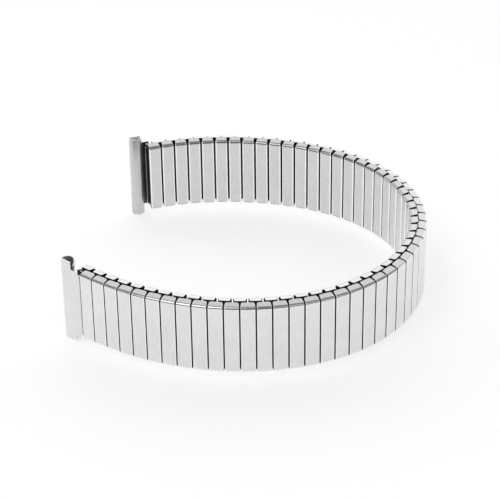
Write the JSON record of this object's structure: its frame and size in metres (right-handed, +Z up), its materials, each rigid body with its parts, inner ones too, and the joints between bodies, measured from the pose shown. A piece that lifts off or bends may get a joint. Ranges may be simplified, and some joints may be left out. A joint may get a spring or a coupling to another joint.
{
  "type": "expansion watch band",
  "caption": "Stretching steel watch band of two rows of folded sleeves joined by staples, with a curled spring-bar tube at each end.",
  "frame": {"origin": "centre of the standing band's bounding box, on the surface the lower tube ends stand on", "axes": "+X from the open ends towards the middle of the band, +Y from the near arm to the far arm, +Z up across the band's width"},
  "size_m": [0.0708, 0.0658, 0.018],
  "materials": {
    "steel": "brushed along the links",
    "inner_steel": "satin",
    "end_steel": "satin",
    "spring_steel": "bright"
  },
  "bodies": {
    "near_end": {"near_end_piece": "end_steel", "near_inner_link": "inner_steel"},
    "link_01": {"link_01": "steel"},
    "link_02": {"link_02": "steel"},
    "link_03": {"link_03": "steel"},
    "link_04": {"link_04": "steel"},
    "link_05": {"link_05": "steel"},
    "link_06": {"link_06": "steel"},
    "link_07": {"link_07": "steel"},
    "link_08": {"link_08": "steel"},
    "link_09": {"link_09": "steel"},
    "link_10": {"link_10": "steel"},
    "link_11": {"link_11": "steel"},
    "link_12": {"link_12": "steel"},
    "link_13": {"link_13": "steel"},
    "link_14": {"link_14": "steel"},
    "link_15": {"link_15": "steel"},
    "link_16": {"link_16": "steel"},
    "link_17": {"link_17": "steel"},
    "link_18": {"link_18": "steel"},
    "link_19": {"link_19": "steel"},
    "link_20": {"link_20": "steel"},
    "link_21": {"link_21": "steel"},
    "link_22": {"link_22": "steel"},
    "link_23": {"link_23": "steel"},
    "link_24": {"link_24": "steel"},
    "link_25": {"link_25": "steel"},
    "link_26": {"link_26": "steel"},
    "link_27": {"outer_sleeve_27": "steel", "inner_sleeve_27": "inner_steel", "leaf_springs_27": "spring_steel", "staples_27": "spring_steel"},
    "link_28": {"link_28": "steel"},
    "link_29": {"link_29": "steel"},
    "link_30": {"link_30": "steel"},
    "link_31": {"link_31": "steel"},
    "link_32": {"link_32": "steel"},
    "link_33": {"link_33": "steel"},
    "link_34": {"link_34": "steel"},
    "link_35": {"link_35": "steel"},
    "link_36": {"link_36": "steel"},
    "link_37": {"link_37": "steel"},
    "link_38": {"link_38": "steel"},
    "link_39": {"link_39": "steel"},
    "link_40": {"link_40": "steel"},
    "link_41": {"link_41": "steel"},
    "link_42": {"link_42": "steel"},
    "link_43": {"link_43": "steel"},
    "link_44": {"link_44": "steel"},
    "link_45": {"link_45": "steel"},
    "link_46": {"link_46": "steel"},
    "link_47": {"link_47": "steel"},
    "link_48": {"link_48": "steel"},
    "link_49": {"link_49": "steel"},
    "link_50": {"link_50": "steel"},
    "link_51": {"link_51": "steel"},
    "link_52": {"link_52": "steel"},
    "link_53": {"link_53": "steel"},
    "far_end": {"far_end_piece": "end_steel", "far_staples": "spring_steel"}
  },
  "joints": [
    {"name": "near_flex", "type": "hinge", "parent": "link_27", "child": "link_26", "pos_m": [0.03328, -0.00827, 0.009], "axis": [0, 0, 1], "range_deg": [-2.27, 11.33]},
    {"name": "stretch", "type": "slide", "parent": "link_26", "child": "link_25", "axis": [-0.3575, -0.9339, 0], "range_m": [0, 0.0011], "stiffness_N_per_m": 2500},
    {"name": "flex_25", "type": "hinge", "parent": "link_25", "child": "link_24", "pos_m": [0.03115, -0.01384, 0.009], "axis": [0, 0, 1], "range_deg": [-2.23, 11.1]},
    {"name": "stretch_24", "type": "slide", "parent": "link_24", "child": "link_23", "axis": [-0.5312, -0.8472, 0], "range_m": [0, 0.0011], "stiffness_N_per_m": 2500},
    {"name": "flex_23", "type": "hinge", "parent": "link_23", "child": "link_22", "pos_m": [0.02798, -0.01889, 0.009], "axis": [0, 0, 1], "range_deg": [-2.2, 10.95]},
    {"name": "stretch_22", "type": "slide", "parent": "link_22", "child": "link_21", "axis": [-0.6829, -0.7305, 0], "range_m": [0, 0.0011], "stiffness_N_per_m": 2500},
    {"name": "flex_21", "type": "hinge", "parent": "link_21", "child": "link_20", "pos_m": [0.02391, -0.02325, 0.009], "axis": [0, 0, 1], "range_deg": [-2.15, 10.69]},
    {"name": "stretch_20", "type": "slide", "parent": "link_20", "child": "link_19", "axis": [-0.8075, -0.5899, 0], "range_m": [0, 0.0011], "stiffness_N_per_m": 2500},
    {"name": "flex_19", "type": "hinge", "parent": "link_19", "child": "link_18", "pos_m": [0.0191, -0.02677, 0.009], "axis": [0, 0, 1], "range_deg": [-2.03, 10.1]},
    {"name": "stretch_18", "type": "slide", "parent": "link_18", "child": "link_17", "axis": [-0.8995, -0.4369, 0], "range_m": [0, 0.0011], "stiffness_N_per_m": 2500},
    {"name": "flex_17", "type": "hinge", "parent": "link_17", "child": "link_16", "pos_m": [0.01375, -0.02937, 0.009], "axis": [0, 0, 1], "range_deg": [-1.9, 9.47]},
    {"name": "stretch_16", "type": "slide", "parent": "link_16", "child": "link_15", "axis": [-0.9599, -0.2803, 0], "range_m": [0, 0.0011], "stiffness_N_per_m": 2500},
    {"name": "flex_15", "type": "hinge", "parent": "link_15", "child": "link_14", "pos_m": [0.00805, -0.03104, 0.009], "axis": [0, 0, 1], "range_deg": [-1.76, 8.75]},
    {"name": "stretch_14", "type": "slide", "parent": "link_14", "child": "link_13", "axis": [-0.9918, -0.128, 0], "range_m": [0, 0.0011], "stiffness_N_per_m": 2500},
    {"name": "flex_13", "type": "hinge", "parent": "link_13", "child": "link_12", "pos_m": [0.00216, -0.0318, 0.009], "axis": [0, 0, 1], "range_deg": [-1.62, 8.07]},
    {"name": "stretch_12", "type": "slide", "parent": "link_12", "child": "link_11", "axis": [-0.9999, 0.0148, 0], "range_m": [0, 0.0011], "stiffness_N_per_m": 2500},
    {"name": "flex_11", "type": "hinge", "parent": "link_11", "child": "link_10", "pos_m": [-0.00377, -0.03172, 0.009], "axis": [0, 0, 1], "range_deg": [-1.56, 7.77]},
    {"name": "stretch_10", "type": "slide", "parent": "link_10", "child": "link_09", "axis": [-0.9886, 0.1506, 0], "range_m": [0, 0.0011], "stiffness_N_per_m": 2500},
    {"name": "flex_09", "type": "hinge", "parent": "link_09", "child": "link_08", "pos_m": [-0.00963, -0.03083, 0.009], "axis": [0, 0, 1], "range_deg": [-1.51, 7.53]},
    {"name": "stretch_08", "type": "slide", "parent": "link_08", "child": "link_07", "axis": [-0.9601, 0.2798, 0], "range_m": [0, 0.0011], "stiffness_N_per_m": 2500},
    {"name": "flex_07", "type": "hinge", "parent": "link_07", "child": "link_06", "pos_m": [-0.01531, -0.02917, 0.009], "axis": [0, 0, 1], "range_deg": [-1.43, 7.12]},
    {"name": "stretch_06", "type": "slide", "parent": "link_06", "child": "link_05", "axis": [-0.9172, 0.3983, 0], "range_m": [0, 0.0011], "stiffness_N_per_m": 2500},
    {"name": "flex_05", "type": "hinge", "parent": "link_05", "child": "link_04", "pos_m": [-0.02074, -0.02681, 0.009], "axis": [0, 0, 1], "range_deg": [-1.34, 6.66]},
    {"name": "stretch_04", "type": "slide", "parent": "link_04", "child": "link_03", "axis": [-0.8639, 0.5037, 0], "range_m": [0, 0.0011], "stiffness_N_per_m": 2500},
    {"name": "flex_03", "type": "hinge", "parent": "link_03", "child": "link_02", "pos_m": [-0.02585, -0.02384, 0.009], "axis": [0, 0, 1], "range_deg": [-1.2, 5.94]},
    {"name": "stretch_02", "type": "slide", "parent": "link_02", "child": "link_01", "axis": [-0.8051, 0.5932, 0], "range_m": [0, 0.0011], "stiffness_N_per_m": 2500},
    {"name": "flex_01", "type": "hinge", "parent": "link_01", "child": "near_end", "pos_m": [-0.03061, -0.02034, 0.009], "axis": [0, 0, 1], "range_deg": [-0.54, 2.67]},
    {"name": "far_flex", "type": "hinge", "parent": "link_27", "child": "link_28", "pos_m": [0.03393, -0.00535, 0.009], "axis": [0, 0, -1], "range_deg": [-2.32, 11.6]},
    {"name": "stretch_29", "type": "slide", "parent": "link_28", "child": "link_29", "axis": [0.0654, 0.9979, 0], "range_m": [0, 0.0011], "stiffness_N_per_m": 2500},
    {"name": "flex_30", "type": "hinge", "parent": "link_29", "child": "link_30", "pos_m": [0.03432, 0.00061, 0.009], "axis": [0, 0, -1], "range_deg": [-2.37, 11.83]},
    {"name": "stretch_31", "type": "slide", "parent": "link_30", "child": "link_31", "axis": [-0.1396, 0.9902, 0], "range_m": [0, 0.0011], "stiffness_N_per_m": 2500},
    {"name": "flex_32", "type": "hinge", "parent": "link_31", "child": "link_32", "pos_m": [0.03348, 0.00652, 0.009], "axis": [0, 0, -1], "range_deg": [-2.41, 12.01]},
    {"name": "stretch_33", "type": "slide", "parent": "link_32", "child": "link_33", "axis": [-0.3417, 0.9398, 0], "range_m": [0, 0.0011], "stiffness_N_per_m": 2500},
    {"name": "flex_34", "type": "hinge", "parent": "link_33", "child": "link_34", "pos_m": [0.03144, 0.01213, 0.009], "axis": [0, 0, -1], "range_deg": [-2.36, 11.77]},
    {"name": "stretch_35", "type": "slide", "parent": "link_34", "child": "link_35", "axis": [-0.5282, 0.8491, 0], "range_m": [0, 0.0011], "stiffness_N_per_m": 2500},
    {"name": "flex_36", "type": "hinge", "parent": "link_35", "child": "link_36", "pos_m": [0.02829, 0.01721, 0.009], "axis": [0, 0, -1], "range_deg": [-2.21, 11.03]},
    {"name": "stretch_37", "type": "slide", "parent": "link_36", "child": "link_37", "axis": [-0.6831, 0.7303, 0], "range_m": [0, 0.0011], "stiffness_N_per_m": 2500},
    {"name": "flex_38", "type": "hinge", "parent": "link_37", "child": "link_38", "pos_m": [0.02422, 0.02156, 0.009], "axis": [0, 0, -1], "range_deg": [-2.02, 10.07]},
    {"name": "stretch_39", "type": "slide", "parent": "link_38", "child": "link_39", "axis": [-0.8032, 0.5957, 0], "range_m": [0, 0.0011], "stiffness_N_per_m": 2500},
    {"name": "flex_40", "type": "hinge", "parent": "link_39", "child": "link_40", "pos_m": [0.01944, 0.02511, 0.009], "axis": [0, 0, -1], "range_deg": [-1.75, 8.72]},
    {"name": "stretch_41", "type": "slide", "parent": "link_40", "child": "link_41", "axis": [-0.8869, 0.4619, 0], "range_m": [0, 0.0011], "stiffness_N_per_m": 2500},
    {"name": "flex_42", "type": "hinge", "parent": "link_41", "child": "link_42", "pos_m": [0.01418, 0.02786, 0.009], "axis": [0, 0, -1], "range_deg": [-1.52, 7.56]},
    {"name": "stretch_43", "type": "slide", "parent": "link_42", "child": "link_43", "axis": [-0.9413, 0.3376, 0], "range_m": [0, 0.0011], "stiffness_N_per_m": 2500},
    {"name": "flex_44", "type": "hinge", "parent": "link_43", "child": "link_44", "pos_m": [0.00861, 0.02986, 0.009], "axis": [0, 0, -1], "range_deg": [-1.39, 6.92]},
    {"name": "stretch_45", "type": "slide", "parent": "link_44", "child": "link_45", "axis": [-0.9757, 0.2192, 0], "range_m": [0, 0.0011], "stiffness_N_per_m": 2500},
    {"name": "flex_46", "type": "hinge", "parent": "link_45", "child": "link_46", "pos_m": [0.00284, 0.03116, 0.009], "axis": [0, 0, -1], "range_deg": [-1.31, 6.5]},
    {"name": "stretch_47", "type": "slide", "parent": "link_46", "child": "link_47", "axis": [-0.9942, 0.1071, 0], "range_m": [0, 0.0011], "stiffness_N_per_m": 2500},
    {"name": "flex_48", "type": "hinge", "parent": "link_47", "child": "link_48", "pos_m": [-0.00304, 0.03179, 0.009], "axis": [0, 0, -1], "range_deg": [-1.37, 6.83]},
    {"name": "stretch_49", "type": "slide", "parent": "link_48", "child": "link_49", "axis": [-1, -0.0099, 0], "range_m": [0, 0.0011], "stiffness_N_per_m": 2500},
    {"name": "flex_50", "type": "hinge", "parent": "link_49", "child": "link_50", "pos_m": [-0.00896, 0.03173, 0.009], "axis": [0, 0, -1], "range_deg": [-1.46, 7.27]},
    {"name": "stretch_51", "type": "slide", "parent": "link_50", "child": "link_51", "axis": [-0.991, -0.1341, 0], "range_m": [0, 0.0011], "stiffness_N_per_m": 2500},
    {"name": "flex_52", "type": "hinge", "parent": "link_51", "child": "link_52", "pos_m": [-0.01483, 0.03093, 0.009], "axis": [0, 0, -1], "range_deg": [-1.58, 7.86]},
    {"name": "stretch_53", "type": "slide", "parent": "link_52", "child": "link_53", "axis": [-0.9641, -0.2655, 0], "range_m": [0, 0.0011], "stiffness_N_per_m": 2500},
    {"name": "flex_54", "type": "hinge", "parent": "link_53", "child": "far_end", "pos_m": [-0.02054, 0.02935, 0.009], "axis": [0, 0, -1], "range_deg": [-0.63, 3.11]}
  ],
  "couplings": [
    {"joint": "flex_25", "follows": "near_flex", "ratio": 0.97946},
    {"joint": "stretch_24", "follows": "stretch", "ratio": 1},
    {"joint": "flex_23", "follows": "near_flex", "ratio": 0.9659},
    {"joint": "stretch_22", "follows": "stretch", "ratio": 1},
    {"joint": "flex_21", "follows": "near_flex", "ratio": 0.9426},
    {"joint": "stretch_20", "follows": "stretch", "ratio": 1},
    {"joint": "flex_19", "follows": "near_flex", "ratio": 0.89103},
    {"joint": "stretch_18", "follows": "stretch", "ratio": 1},
    {"joint": "flex_17", "follows": "near_flex", "ratio": 0.83558},
    {"joint": "stretch_16", "follows": "stretch", "ratio": 1},
    {"joint": "flex_15", "follows": "near_flex", "ratio": 0.7715},
    {"joint": "stretch_14", "follows": "stretch", "ratio": 1},
    {"joint": "flex_13", "follows": "near_flex", "ratio": 0.71145},
    {"joint": "stretch_12", "follows": "stretch", "ratio": 1},
    {"joint": "flex_11", "follows": "near_flex", "ratio": 0.68506},
    {"joint": "stretch_10", "follows": "stretch", "ratio": 1},
    {"joint": "flex_09", "follows": "near_flex", "ratio": 0.66374},
    {"joint": "stretch_08", "follows": "stretch", "ratio": 1},
    {"joint": "flex_07", "follows": "near_flex", "ratio": 0.62785},
    {"joint": "stretch_06", "follows": "stretch", "ratio": 1},
    {"joint": "flex_05", "follows": "near_flex", "ratio": 0.58682},
    {"joint": "stretch_04", "follows": "stretch", "ratio": 1},
    {"joint": "flex_03", "follows": "near_flex", "ratio": 0.52362},
    {"joint": "stretch_02", "follows": "stretch", "ratio": 1},
    {"joint": "flex_01", "follows": "near_flex", "ratio": 0.23458},
    {"joint": "stretch_29", "follows": "stretch", "ratio": 1},
    {"joint": "flex_30", "follows": "far_flex", "ratio": 1.019},
    {"joint": "stretch_31", "follows": "stretch", "ratio": 1},
    {"joint": "flex_32", "follows": "far_flex", "ratio": 1.0345},
    {"joint": "stretch_33", "follows": "stretch", "ratio": 1},
    {"joint": "flex_34", "follows": "far_flex", "ratio": 1.0137},
    {"joint": "stretch_35", "follows": "stretch", "ratio": 1},
    {"joint": "flex_36", "follows": "far_flex", "ratio": 0.94953},
    {"joint": "stretch_37", "follows": "stretch", "ratio": 1},
    {"joint": "flex_38", "follows": "far_flex", "ratio": 0.86681},
    {"joint": "stretch_39", "follows": "stretch", "ratio": 1},
    {"joint": "flex_40", "follows": "far_flex", "ratio": 0.75106},
    {"joint": "stretch_41", "follows": "stretch", "ratio": 1},
    {"joint": "flex_42", "follows": "far_flex", "ratio": 0.65113},
    {"joint": "stretch_43", "follows": "stretch", "ratio": 1},
    {"joint": "flex_44", "follows": "far_flex", "ratio": 0.5956},
    {"joint": "stretch_45", "follows": "stretch", "ratio": 1},
    {"joint": "flex_46", "follows": "far_flex", "ratio": 0.55901},
    {"joint": "stretch_47", "follows": "stretch", "ratio": 1},
    {"joint": "flex_48", "follows": "far_flex", "ratio": 0.58788},
    {"joint": "stretch_49", "follows": "stretch", "ratio": 1},
    {"joint": "flex_50", "follows": "far_flex", "ratio": 0.62581},
    {"joint": "stretch_51", "follows": "stretch", "ratio": 1},
    {"joint": "flex_52", "follows": "far_flex", "ratio": 0.67655},
    {"joint": "stretch_53", "follows": "stretch", "ratio": 1},
    {"joint": "flex_54", "follows": "far_flex", "ratio": 0.26736}
  ]
}
